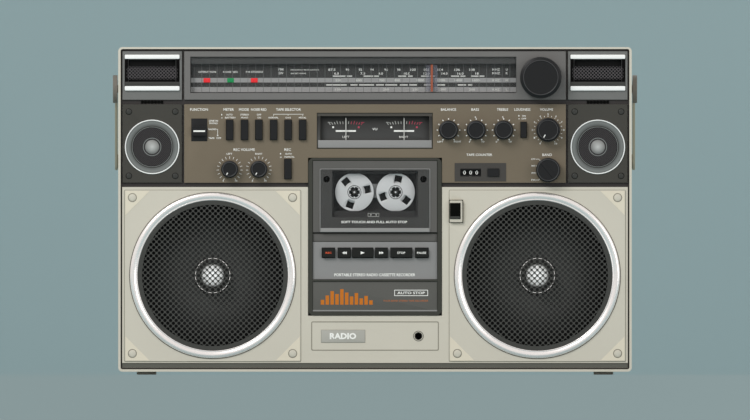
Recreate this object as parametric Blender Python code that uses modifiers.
"""Portable stereo radio cassette recorder, at rest with its carrying handle folded down behind it.

Sizes are in millimetres until world() turns them into metres. X runs to the viewer's right, y counts back
from the front rim and z counts up from the surface that the feet stand on. The origin is at the middle of
the whole object's bounding box, at the bottom.
"""

import math

import bmesh
import bpy
from mathutils import Matrix, Vector

MM = 0.001
GAP = 0.3  # clearance between neighbouring pieces

# Cabinet
HALF_WIDTH = 265.0
FOOT_HEIGHT = 3.0
TOP = 338.0
DEPTH = 150.0
SPLIT = 60.0  # depth at which the front and rear shells meet
WALL = 3.0
RIM = 2.5
FASCIA_FRONT = 1.5
FASCIA_BACK = 4.7
RECESS_FLOOR = 5.0
INNER_FRONT = RECESS_FLOOR + WALL
SIDE_OUTER = 260.9  # edge of the side blocks
SIDE_INNER = 199.0
CENTRE_HALF = 197.2
DIAL_LOW, DIAL_HIGH = 283.4, 334.0  # heights of the three horizontal bands
CONTROL_LOW, CONTROL_HIGH = 197.7, 279.3
BAFFLE_LOW, BAFFLE_HIGH = 12.0, 193.6
FOOT_SPAN = (225.9, 245.5)

# Handle
HANDLE_PIVOT_Y, HANDLE_PIVOT_Z = 75.0, 294.7
HANDLE_BAR_Y, HANDLE_BAR_Z = 162.0, 220.0
HANDLE_BAR_HALF = 9.0
HANDLE_BOSS_RADIUS = 14.4
HANDLE_OUTSIDE = 270.5
ARM_INNER, ARM_OUTER = 265.4, 267.6

# Loudspeakers
WOOFER_X, WOOFER_Z = 167.5, 102.3
WOOFER_RING_RADIUS, WOOFER_RING_INNER = 85.9, 77.6
MIDRANGE_X, MIDRANGE_Z = 230.0, 235.0

# Cassette deck
DECK_HALF, DECK_LOW, DECK_HIGH = 68.8, 61.1, 223.5
DECK_INNER = 64.4
DOOR_LOW, DOOR_HIGH = 146.8, 220.7
DOOR_HINGE_Y, DOOR_HINGE_Z = 4.0, 149.0
REEL_X, REEL_Z = 21.25, 188.3
REEL_RADIUS = 19.9
KEY_LOW, KEY_HIGH = 120.9, 130.5
KEYS = {
    "record_key": (-54.4, -41.4),
    "rewind_key": (-38.3, -25.2),
    "play_key": (-23.5, -1.8),
    "fast_forward_key": (0.2, 13.1),
    "stop_key": (16.0, 38.3),
    "pause_key": (41.4, 54.7),
}

# Control panel
METER_X, METER_Z = (-60.0, 59.6), (233.0, 270.2)
NEEDLE_X, NEEDLE_PIVOT_Z = 30.0, 238.5
COUNTER_X, COUNTER_Z = (87.9, 109.5), (204.4, 212.7)
RESET_X = (116.2, 128.1)
BUTTONS = {  # middle x, width, height span
    "meter_button": (-150.0, 7.2, (242.2, 262.9)),
    "mode_button": (-134.7, 7.2, (242.2, 262.9)),
    "noise_reduction_button": (-119.9, 7.2, (242.2, 262.9)),
    "tape_normal_button": (-104.6, 7.2, (242.2, 262.9)),
    "tape_chrome_button": (-89.7, 7.2, (242.2, 262.9)),
    "tape_metal_button": (-74.7, 7.2, (242.2, 262.9)),
    "rec_mode_button": (-89.9, 7.2, (201.9, 222.5)),
    "loudness_button": (153.4, 6.1, (244.5, 260.7)),
}
KNOBS = {  # x, z, radius, how far it stands out of the rim plane
    "rec_level_left_knob": (-150.0, 211.9, 9.1, 10.0),
    "rec_level_right_knob": (-119.9, 211.9, 9.1, 10.0),
    "balance_knob": (75.9, 252.4, 10.2, 10.0),
    "bass_knob": (104.4, 252.4, 10.2, 10.0),
    "treble_knob": (132.8, 252.4, 10.2, 10.0),
    "volume_knob": (178.6, 252.5, 12.6, 12.0),
    "band_knob": (178.7, 211.1, 12.8, 12.0),
}
SWITCH_X, SWITCH_Z = (-189.6, -173.0), (240.8, 264.3)
TUNING_X, TUNING_Z, TUNING_RADIUS, TUNING_PROUD = 171.1, 306.6, 21.6, 16.0
DIAL_X, DIAL_Z = (-190.5, 145.8), (290.7, 328.1)
POINTER_X = 58.6
JACK_X, JACK_Z = 44.8, 39.8

# Rear
BATTERY_X, BATTERY_Z, BATTERY_FRONT = (-130.0, 130.0), (16.0, 90.0), 108.0
INLET_X, INLET_Z = (190.0, 214.0), (31.0, 43.0)
ANTENNA_PIVOT_X, ANTENNA_Y, ANTENNA_Z = 236.0, 144.0, 331.2
ANTENNA_TIP_X = -239.0

OVERALL_BACK = HANDLE_BAR_Y + HANDLE_BAR_HALF
RIM_TO_ORIGIN = (OVERALL_BACK - TUNING_PROUD) / 2

for old in list(bpy.data.objects):
    bpy.data.objects.remove(old, do_unlink=True)
parts = bpy.data.collections.new("radio_cassette_recorder")
helpers = bpy.data.collections.new("cutters_and_joined_shapes")
bpy.context.scene.collection.children.link(parts)
bpy.context.scene.collection.children.link(helpers)


def material(name, colour, roughness, metallic=0.0):
    """A Principled BSDF with one colour, roughness and metallic value."""
    made = bpy.data.materials.new(name)
    made.use_nodes = True
    shader = made.node_tree.nodes["Principled BSDF"]
    shader.inputs["Base Color"].default_value = (*colour, 1.0)
    shader.inputs["Roughness"].default_value = roughness
    shader.inputs["Metallic"].default_value = metallic
    return made


BEIGE = material("cabinet_beige", (0.54, 0.51, 0.43), 0.5)
GREY = material("fascia_grey", (0.16, 0.16, 0.15), 0.45)
BROWN = material("panel_brown", (0.17, 0.145, 0.11), 0.45)
BLACK = material("control_black", (0.02, 0.02, 0.018), 0.35)
DARK = material("dark_plastic", (0.04, 0.04, 0.035), 0.45)
SILVER = material("silver_metal", (0.7, 0.7, 0.69), 0.3, 1.0)
CLEAR = material("clear_plastic", (0.6, 0.62, 0.62), 0.08)
REEL_GREY = material("reel_grey", (0.42, 0.42, 0.42), 0.4)
PALE = material("pale_plastic", (0.75, 0.75, 0.72), 0.4)
ORANGE = material("pointer_orange", (0.75, 0.2, 0.03), 0.4)
BOARD = material("board_green", (0.05, 0.16, 0.06), 0.5)
STEEL = material("plated_steel", (0.45, 0.45, 0.43), 0.4, 1.0)
CONE = material("cone_black", (0.03, 0.03, 0.03), 0.8)


def world(x, y, z):
    """World metres of a point in millimetres, with y counted back from the front rim."""
    return Vector((x, y - RIM_TO_ORIGIN, z)) * MM


def add_object(name, bm, location):
    mesh = bpy.data.meshes.new(name)
    bm.to_mesh(mesh)
    bm.free()
    made = bpy.data.objects.new(name, mesh)
    made.location = location
    parts.objects.link(made)
    return made


def block(name, x, y, z, corner=0.0):
    """A box between three (low, high) spans. corner rounds its four edges that run along Y."""
    spans = (x, y, z)
    size = [(high - low) * MM for low, high in spans]
    middle = [(low + high) / 2 for low, high in spans]
    bm = bmesh.new()
    bmesh.ops.create_cube(bm, size=1.0, matrix=Matrix.Diagonal((*size, 1.0)))
    if corner:
        along_y = [e for e in bm.edges if abs(e.verts[0].co.y - e.verts[1].co.y) > size[1] / 2]
        bmesh.ops.bevel(bm, geom=along_y, offset=corner * MM, segments=3, affect="EDGES", profile=0.5)
    return add_object(name, bm, world(*middle))


def rod(name, along, centre, span, radius, sides=24):
    """A cylinder along X or Y: centre is its other two coordinates and span its two ends."""
    bm = bmesh.new()
    turn = Matrix.Rotation(math.pi / 2, 4, "X" if along == "Y" else "Y")
    length = (span[1] - span[0]) * MM
    bmesh.ops.create_cone(
        bm, cap_ends=True, segments=sides, radius1=radius * MM, radius2=radius * MM, depth=length, matrix=turn
    )
    middle = (span[0] + span[1]) / 2
    place = world(centre[0], middle, centre[1]) if along == "Y" else world(middle, *centre)
    return add_object(name, bm, place)


def turned(name, x, z, profile, sides=32, loop=False):
    """A shape turned round the Y axis through (x, z). profile is a list of (radius, y) from front to back."""
    bm = bmesh.new()
    points = [bm.verts.new((radius * MM, y * MM, 0.0)) for radius, y in profile]
    for first, second in zip(points, points[1:]):
        bm.edges.new((first, second))
    if loop:
        bm.edges.new((points[-1], points[0]))
    made = add_object(name, bm, world(x, 0.0, z))
    screw = made.modifiers.new("turn", "SCREW")
    screw.axis = "Y"
    screw.steps = sides
    screw.render_steps = sides
    screw.use_merge_vertices = True
    screw.merge_threshold = 0.00001
    screw.use_normal_flip = True
    return made


def stow(helper):
    """Puts a cutter or a joined shape out of the part's own collection."""
    parts.objects.unlink(helper)
    helpers.objects.link(helper)
    helper.hide_render = True
    helper.display_type = "WIRE"


def combine(piece, operation, others):
    for other in others:
        boolean = piece.modifiers.new(other.name, "BOOLEAN")
        boolean.operation = operation
        boolean.solver = "EXACT"
        boolean.object = other
        stow(other)


def join(piece, *others):
    combine(piece, "UNION", others)


def cut(piece, *others):
    combine(piece, "DIFFERENCE", others)


def hinge_at(piece, y, z, x=0.0):
    """Moves the origin onto a joint's axis without moving the shape."""
    place = world(x, y, z)
    piece.data.transform(Matrix.Translation(piece.location - place))
    piece.location = place


def finish(piece, finish_material, smooth=False):
    piece.data.materials.clear()
    piece.data.materials.append(finish_material)
    if smooth:
        piece.data.shade_smooth()
        piece.data.set_sharp_from_angle(angle=math.radians(35))


def mirrored_x(span, side):
    """The span for the right side as it is, and turned round for the left side."""
    return span if side > 0 else (-span[1], -span[0])


def front_cabinet():
    shell = block("front_cabinet", (-HALF_WIDTH, HALF_WIDTH), (0, SPLIT), (FOOT_HEIGHT, TOP), corner=4)
    cut(
        shell,
        block(
            "front_inside",
            (WALL - HALF_WIDTH, HALF_WIDTH - WALL),
            (INNER_FRONT, SPLIT + 1),
            (FOOT_HEIGHT + WALL, TOP - WALL),
        ),
        block(
            "front_recess",
            (RIM - HALF_WIDTH, HALF_WIDTH - RIM),
            (-1, RECESS_FLOOR),
            (FOOT_HEIGHT + RIM, TOP - 2.0),
            corner=2,
        ),
    )
    join(
        shell,
        block("baffle", (-SIDE_OUTER, SIDE_OUTER), (FASCIA_FRONT, RECESS_FLOOR + 1), (BAFFLE_LOW, BAFFLE_HIGH)),
        block("plinth", (-SIDE_OUTER, SIDE_OUTER), (3.0, RECESS_FLOOR + 1), (6.8, BAFFLE_LOW + 0.5)),
        rod("jack_boss", "Y", (JACK_X, JACK_Z), (FASCIA_FRONT + 0.5, 24), 7.5),
    )
    for side in (-1, 1):
        foot = block(f"front_foot_{side}", mirrored_x(FOOT_SPAN, side), (12, 30), (0, FOOT_HEIGHT + 1))
        join(shell, foot)
    through = (-1, INNER_FRONT + 1)
    deck_half = DECK_HALF + GAP
    cut(
        shell,
        block("deck_bay", (-deck_half, deck_half), through, (DECK_LOW - GAP, DECK_HIGH + GAP)),
        block("eject_opening", (76.2, 90.9), through, (156.7, 180.2)),
        block("dial_opening", (-195, 150), through, (287, 331.5)),
        block("control_opening", (-192, 192), through, (227, 275)),
        block("recorder_opening", (-192, -73), through, (199.5, 224)),
        block("selector_opening", (73, 192), through, (199.5, 224)),
        rod("tuning_opening", "Y", (TUNING_X, TUNING_Z), through, 6),
        rod("jack_bore", "Y", (JACK_X, JACK_Z), (-1, 22), 3.3, sides=16),
    )
    for side in (-1, 1):
        cut(
            shell,
            rod(f"woofer_opening_{side}", "Y", (side * WOOFER_X, WOOFER_Z), through, 76, sides=40),
            rod(f"midrange_opening_{side}", "Y", (side * MIDRANGE_X, MIDRANGE_Z), through, 30.5, sides=24),
            block(f"tweeter_opening_{side}", mirrored_x((203, 257), side), through, (295, 328)),
        )
    finish(shell, BEIGE)


def rear_cabinet():
    start = SPLIT + GAP
    inner_back = DEPTH - WALL
    shell = block("rear_cabinet", (-HALF_WIDTH, HALF_WIDTH), (start, DEPTH), (FOOT_HEIGHT, TOP), corner=4)
    cut(
        shell,
        block(
            "rear_inside",
            (WALL - HALF_WIDTH, HALF_WIDTH - WALL),
            (start - 1, inner_back),
            (FOOT_HEIGHT + WALL, TOP - WALL),
        ),
    )
    inner = inner_back + 0.5
    join(
        shell,
        block("antenna_trough", (WALL - HALF_WIDTH - 1, 250), (133, inner), (321, TOP - WALL + 0.5)),
        block(
            "battery_case",
            (BATTERY_X[0] - WALL, BATTERY_X[1] + WALL),
            (BATTERY_FRONT - WALL, inner),
            (BATTERY_Z[0] - WALL, BATTERY_Z[1] + WALL),
        ),
        block("inlet_case", (INLET_X[0] - 4, INLET_X[1] + 4), (130, inner), (INLET_Z[0] - 5, INLET_Z[1] + 5)),
    )
    for side in (-1, 1):
        join(
            shell,
            block(f"rear_foot_{side}", mirrored_x(FOOT_SPAN, side), (125, 143), (0, FOOT_HEIGHT + 1)),
            rod(
                f"handle_pin_{side}",
                "X",
                (HANDLE_PIVOT_Y, HANDLE_PIVOT_Z),
                mirrored_x((263.5, 268.5), side),
                4,
                sides=16,
            ),
        )
    cut(
        shell,
        block("antenna_groove", (-HALF_WIDTH - 1, 244), (137, DEPTH + 1), (325, TOP + 1)),
        block("battery_bay", BATTERY_X, (BATTERY_FRONT, DEPTH + 1), BATTERY_Z),
        block("inlet_socket", INLET_X, (134, DEPTH + 1), INLET_Z),
    )
    finish(shell, BEIGE)


def handle():
    half = HANDLE_BAR_HALF
    bar = block(
        "handle",
        (0.5 - ARM_OUTER, ARM_OUTER - 0.5),
        (HANDLE_BAR_Y - half, HANDLE_BAR_Y + half),
        (HANDLE_BAR_Z - half, HANDLE_BAR_Z + half),
    )
    reach = math.hypot(HANDLE_BAR_Y - HANDLE_PIVOT_Y, HANDLE_BAR_Z - HANDLE_PIVOT_Z)
    slope = math.atan2(HANDLE_BAR_Z - HANDLE_PIVOT_Z, HANDLE_BAR_Y - HANDLE_PIVOT_Y)
    for side in (-1, 1):
        arm = block(
            f"handle_arm_{side}",
            mirrored_x((ARM_INNER, ARM_OUTER), side),
            (HANDLE_PIVOT_Y - 4, HANDLE_PIVOT_Y + reach),
            (HANDLE_PIVOT_Z - 8, HANDLE_PIVOT_Z + 8),
        )
        hinge_at(arm, HANDLE_PIVOT_Y, HANDLE_PIVOT_Z)
        arm.rotation_euler.x = slope
        boss = rod(
            f"handle_boss_{side}",
            "X",
            (HANDLE_PIVOT_Y, HANDLE_PIVOT_Z),
            mirrored_x((ARM_INNER + 0.3, HANDLE_OUTSIDE), side),
            HANDLE_BOSS_RADIUS,
            sides=28,
        )
        join(bar, arm, boss)
    for side in (-1, 1):
        pivot = (HANDLE_PIVOT_Y, HANDLE_PIVOT_Z)
        cut(bar, rod(f"handle_bore_{side}", "X", pivot, mirrored_x((260, 268.9), side), 4.4, sides=16))
    hinge_at(bar, HANDLE_PIVOT_Y, HANDLE_PIVOT_Z)
    finish(bar, DARK)


def antenna():
    centre = (ANTENNA_Y, ANTENNA_Z)
    tube = rod("antenna_tube", "X", centre, (-230, ANTENNA_PIVOT_X), 3.5, sides=12)
    join(tube, rod("antenna_knuckle", "Y", (ANTENNA_PIVOT_X, ANTENNA_Z), (139, 149), 5, sides=16))
    cut(tube, rod("antenna_bore", "X", centre, (-231, 226), 2.4, sides=12))
    hinge_at(tube, ANTENNA_Y, ANTENNA_Z, ANTENNA_PIVOT_X)
    finish(tube, SILVER, smooth=True)
    inner = rod("antenna_rod", "X", centre, (-236, 222), 2.0, sides=10)
    join(inner, rod("antenna_tip", "X", centre, (ANTENNA_TIP_X, -232), 3.4, sides=12))
    finish(inner, SILVER, smooth=True)


def battery_door():
    x = (BATTERY_X[0] + GAP, BATTERY_X[1] - GAP)
    z = (BATTERY_Z[0] + GAP, BATTERY_Z[1] - GAP)
    door = block("battery_door", x, (DEPTH - WALL, DEPTH), z)
    hinge_at(door, DEPTH - GAP, z[0] + 0.5)
    finish(door, BEIGE)


def fascia_plate(name, x, z):
    """A flat front plate that sits in the cabinet's recess."""
    return block(name, (x[0] + GAP, x[1] - GAP), (FASCIA_FRONT, FASCIA_BACK), (z[0] + GAP, z[1] - GAP))


def control_panel():
    panel = fascia_plate("control_panel", (-CENTRE_HALF, CENTRE_HALF), (CONTROL_LOW, CONTROL_HIGH))
    through = (0, 6)
    clear = DECK_HALF + GAP
    cut(
        panel,
        block("deck_notch", (-clear, clear), through, (CONTROL_LOW - 1, DECK_HIGH + GAP)),
        block("meter_opening", METER_X, through, METER_Z),
        block("counter_opening", COUNTER_X, through, COUNTER_Z),
        block("reset_opening", (RESET_X[0] - GAP, RESET_X[1] + GAP), through, (COUNTER_Z[0] - GAP, COUNTER_Z[1] + GAP)),
        block("switch_recess", SWITCH_X, (0, 3.7), SWITCH_Z),
        block("switch_slot", (-183.2, -179.4), through, (242.5, 261)),
    )
    for name, (x, width, z) in BUTTONS.items():
        half = width / 2 + GAP
        cut(panel, block(f"{name}_opening", (x - half, x + half), through, (z[0] - GAP, z[1] + GAP)))
    for name, (x, z, _, _) in KNOBS.items():
        cut(panel, rod(f"{name}_opening", "Y", (x, z), through, 3.6, sides=16))
    finish(panel, BROWN)


def dial():
    fascia = fascia_plate("dial_fascia", (-CENTRE_HALF, CENTRE_HALF), (DIAL_LOW, DIAL_HIGH))
    tray_wall = 2.5
    join(
        fascia,
        block(
            "dial_tray",
            (DIAL_X[0] - tray_wall, DIAL_X[1] + tray_wall),
            (FASCIA_BACK - 1, 14),
            (DIAL_Z[0] - tray_wall, DIAL_Z[1] + tray_wall),
        ),
    )
    cut(
        fascia,
        block("dial_hollow", DIAL_X, (0, 12), DIAL_Z),
        rod("tuning_hole", "Y", (TUNING_X, TUNING_Z), (0, 6), 3.6, sides=16),
    )
    finish(fascia, GREY)
    window = block(
        "dial_window",
        (DIAL_X[0] + GAP, DIAL_X[1] - GAP),
        (FASCIA_FRONT + GAP, 3.3),
        (DIAL_Z[0] + GAP, DIAL_Z[1] - GAP),
    )
    finish(window, CLEAR)
    pointer = block("dial_pointer", (POINTER_X - 1, POINTER_X + 1), (5.5, 6.5), (292, 320))
    join(pointer, block("pointer_carriage", (POINTER_X - 6, POINTER_X + 6), (6.2, 9), (292.5, 302)))
    finish(pointer, ORANGE)


def meters():
    half_step = 3.5
    unit = block(
        "meter_unit",
        (METER_X[0] + GAP, METER_X[1] - GAP),
        (2.5, 28),
        (METER_Z[0] + GAP, METER_Z[1] - GAP),
    )
    hollow_x = (METER_X[0] + half_step, METER_X[1] - half_step)
    cut(
        unit,
        block("meter_hollow", hollow_x, (2, 10), (242.1, METER_Z[1] - half_step)),
        block("pivot_hollow", hollow_x, (4.2, 10), (235, 243)),
    )
    finish(unit, DARK)
    for side, name in ((-1, "vu_needle_left"), (1, "vu_needle_right")):
        x = side * NEEDLE_X
        needle = block(name, (x - 0.45, x + 0.45), (6.0, 6.7), (NEEDLE_PIVOT_Z - 2, 265))
        join(needle, rod(f"{name}_hub", "Y", (x, NEEDLE_PIVOT_Z), (5.0, 8.5), 2, sides=12))
        hinge_at(needle, 0, NEEDLE_PIVOT_Z, x)
        finish(needle, PALE)


def push_button(name, x, y, z, button_material=BLACK):
    """A straight bar behind its cap, sliding along Y."""
    button = block(name, x, y, z, corner=0.6)
    finish(button, button_material)
    return button


def buttons():
    for name, (x, width, z) in BUTTONS.items():
        push_button(name, (x - width / 2, x + width / 2), (-2, 16), z)
    push_button("counter_reset", RESET_X, (-0.5, 14), COUNTER_Z)
    push_button("eject_key", (77.0, 90.3), (-3, 13), (157.2, 179.7))
    for name, x in KEYS.items():
        push_button(name, x, (-1, 16), (KEY_LOW, KEY_HIGH))
    slider = block("function_switch", (-189.0, -173.6), (-2.5, 3.4), (246.4, 256.4), corner=0.6)
    join(slider, block("switch_stem", (-182.8, -179.8), (3.0, 12), (248, 254.8)))
    finish(slider, BLACK)


def knob(name, x, z, radius, proud, sides):
    """A turned cap with a rounded front edge, and the shaft behind it."""
    edge = 0.08 * radius
    profile = [
        (0, -proud),
        (radius - 2.2 * edge, -proud),
        (radius - edge, edge - proud),
        (radius, 1.0),
        (3, 1.0),
        (3, 16),
        (0, 16),
    ]
    finish(turned(name, x, z, profile, sides), BLACK, smooth=True)


def knobs():
    for name, (x, z, radius, proud) in KNOBS.items():
        knob(name, x, z, radius, proud, 24)
    knob("tuning_knob", TUNING_X, TUNING_Z, TUNING_RADIUS, TUNING_PROUD, 32)


def counter():
    pitch = (COUNTER_X[1] - COUNTER_X[0]) / 3
    middle_z = sum(COUNTER_Z) / 2
    for place, name in enumerate(("hundreds", "tens", "units")):
        middle = COUNTER_X[0] + (place + 0.5) * pitch
        wheel = rod(f"counter_wheel_{name}", "X", (12.4, middle_z), (middle - 3.3, middle + 3.3), 8.3, sides=20)
        finish(wheel, PALE)


def woofer(side, word):
    x = side * WOOFER_X
    driver = [
        (0, 34),
        (11, 35),
        (20, 38),
        (69, 12),
        (74, INNER_FRONT + GAP),
        (84, INNER_FRONT + GAP),
        (84, 11),
        (76, 12),
        (36, 48),
        (41, 50),
        (41, 68),
        (0, 68),
    ]
    finish(turned(f"woofer_{word}", x, WOOFER_Z, driver, 32), CONE, smooth=True)
    ring, inner = WOOFER_RING_RADIUS, WOOFER_RING_INNER
    grille = [(0, -0.4), (inner, -0.4), (inner + 1.5, -1.8), (ring - 1.5, -1.8), (ring, 1.2), (0, 1.2)]
    finish(turned(f"woofer_grille_{word}", x, WOOFER_Z, grille, 48), SILVER, smooth=True)


def midrange(side, word):
    plate = fascia_plate(
        f"midrange_{word}", mirrored_x((SIDE_INNER, SIDE_OUTER), side), (CONTROL_LOW, CONTROL_HIGH)
    )
    x = side * MIDRANGE_X
    body = [(0, 3.5), (28, 3.5), (28, 10), (20, 22), (20, 34), (0, 34)]
    hollow = [(0, 0), (21.7, 0), (21.7, 4), (8, 13), (0, 11)]
    join(plate, turned(f"midrange_body_{word}", x, MIDRANGE_Z, body, 24))
    cut(plate, turned(f"midrange_hollow_{word}", x, MIDRANGE_Z, hollow, 24))
    finish(plate, GREY)


def tweeter(side, word):
    plate = fascia_plate(f"tweeter_{word}", mirrored_x((SIDE_INNER, SIDE_OUTER), side), (DIAL_LOW, DIAL_HIGH))
    join(plate, block(f"tweeter_case_{word}", mirrored_x((204, 256), side), (4, 34), (296, 327)))
    cut(plate, block(f"tweeter_mouth_{word}", mirrored_x((205.5, 254.5), side), (0, 20), (298, 325)))
    finish(plate, GREY)


def deck_frame():
    frame = block("deck_frame", (-DECK_HALF, DECK_HALF), (0.5, 12), (DECK_LOW, DECK_HIGH), corner=5)
    inner = (-DECK_INNER, DECK_INNER)
    cut(
        frame,
        block("door_opening", inner, (0, 13), (145.4, 221.0)),
        block("key_recess", inner, (0, 4), (98.1, 145.5)),
        block("badge_recess", inner, (0, 2), (65.1, 96.1)),
        block("frame_back", inner, (6.5, 13), (63.5, 146)),
        block("key_opening", (-55.0, 55.4), (0, 13), (KEY_LOW - 0.5, KEY_HIGH + 0.5)),
    )
    finish(frame, DARK)


def deck_chassis():
    chassis = block("deck_chassis", (-66, 66), (22, 24), (64, 219))
    join(
        chassis,
        block("head_bridge", (-9, 9), (9, 23), (140.5, 148.0)),
        rod("motor_can", "Y", (-36, 98), (23, 52), 17, sides=24),
    )
    cut(chassis, rod("capstan_hole", "Y", (30, 152), (20, 26), 2, sides=12))
    for side in (-1, 1):
        cut(chassis, rod(f"spindle_hole_{side}", "Y", (side * REEL_X, REEL_Z), (20, 26), 2, sides=12))
    finish(chassis, STEEL)


def tape_drive():
    spindle = [(0, 11), (2.2, 11), (2.8, 12.5), (2.8, 19.4), (5.5, 19.4), (5.5, 21.4)]
    spindle += [(1.4, 21.4), (1.4, 25), (9, 25), (9, 27.5), (0, 27.5)]
    reel = [(5.6, 8.6), (REEL_RADIUS, 8.6), (REEL_RADIUS, 9.8), (11, 9.8), (11, 16.4), (5.6, 16.4)]
    for side, word in ((-1, "left"), (1, "right")):
        finish(turned(f"spindle_{word}", side * REEL_X, REEL_Z, spindle, 16), PALE, smooth=True)
        finish(turned(f"reel_{word}", side * REEL_X, REEL_Z, reel, 32, loop=True), REEL_GREY, smooth=True)
    flywheel = [(0, 19.4), (1.2, 19.4), (1.2, 28), (22, 28), (22, 34), (4, 34), (4, 38), (0, 38)]
    finish(turned("capstan_flywheel", 30, 152, flywheel, 32), STEEL, smooth=True)


def cassette_door():
    plate = block("cassette_door", (GAP - DECK_INNER, DECK_INNER - GAP), (1, 4), (DOOR_LOW, DOOR_HIGH))
    join(plate, block("door_ledge", (-52.8, 52.8), (3.5, 19), (150.6, 153.3)))
    for side in (-1, 1):
        join(plate, block(f"door_guide_{side}", mirrored_x((50.9, 52.8), side), (3.5, 19), (151, 200)))
    cut(plate, block("door_view", (-44.2, 44.2), (0, 5), (162.4, 210.5)))
    hinge_at(plate, DOOR_HINGE_Y, DOOR_HINGE_Z)
    finish(plate, DARK)
    window = block("cassette_window", (-56.2, 56.2), (-0.6, 0.7), (147.2, 211.8))
    hinge_at(window, DOOR_HINGE_Y, DOOR_HINGE_Z)
    finish(window, CLEAR)


def cassette_shell():
    shell = block("cassette_shell", (-50.2, 50.2), (6.5, 18.5), (153.7, 217.5), corner=2)
    cut(
        shell,
        block("cassette_hollow", (-48, 48), (8, 17), (162, 215)),
        block("cassette_view", (-42.2, 42.2), (5, 8.5), (168.9, 207.3)),
    )
    for side in (-1, 1):
        cut(shell, rod(f"hub_hole_{side}", "Y", (side * REEL_X, REEL_Z), (16, 19), 6.2, sides=16))
    hinge_at(shell, DOOR_HINGE_Y, DOOR_HINGE_Z)
    finish(shell, DARK)


def main_board():
    board = block("main_board", (-170, 170), (84, 85.6), (105, 290))
    join(
        board,
        block("transformer", (100, 150), (85, 122), (112, 158)),
        block("heat_sink", (-160, -80), (85, 112), (235, 280)),
        rod("smoothing_capacitor", "Y", (60, 140), (85, 125), 16, sides=16),
    )
    finish(board, BOARD)


front_cabinet()
rear_cabinet()
handle()
antenna()
battery_door()
control_panel()
dial()
meters()
buttons()
knobs()
counter()
for side_sign, side_word in ((-1, "left"), (1, "right")):
    woofer(side_sign, side_word)
    midrange(side_sign, side_word)
    tweeter(side_sign, side_word)
deck_frame()
deck_chassis()
tape_drive()
cassette_door()
cassette_shell()
main_board()
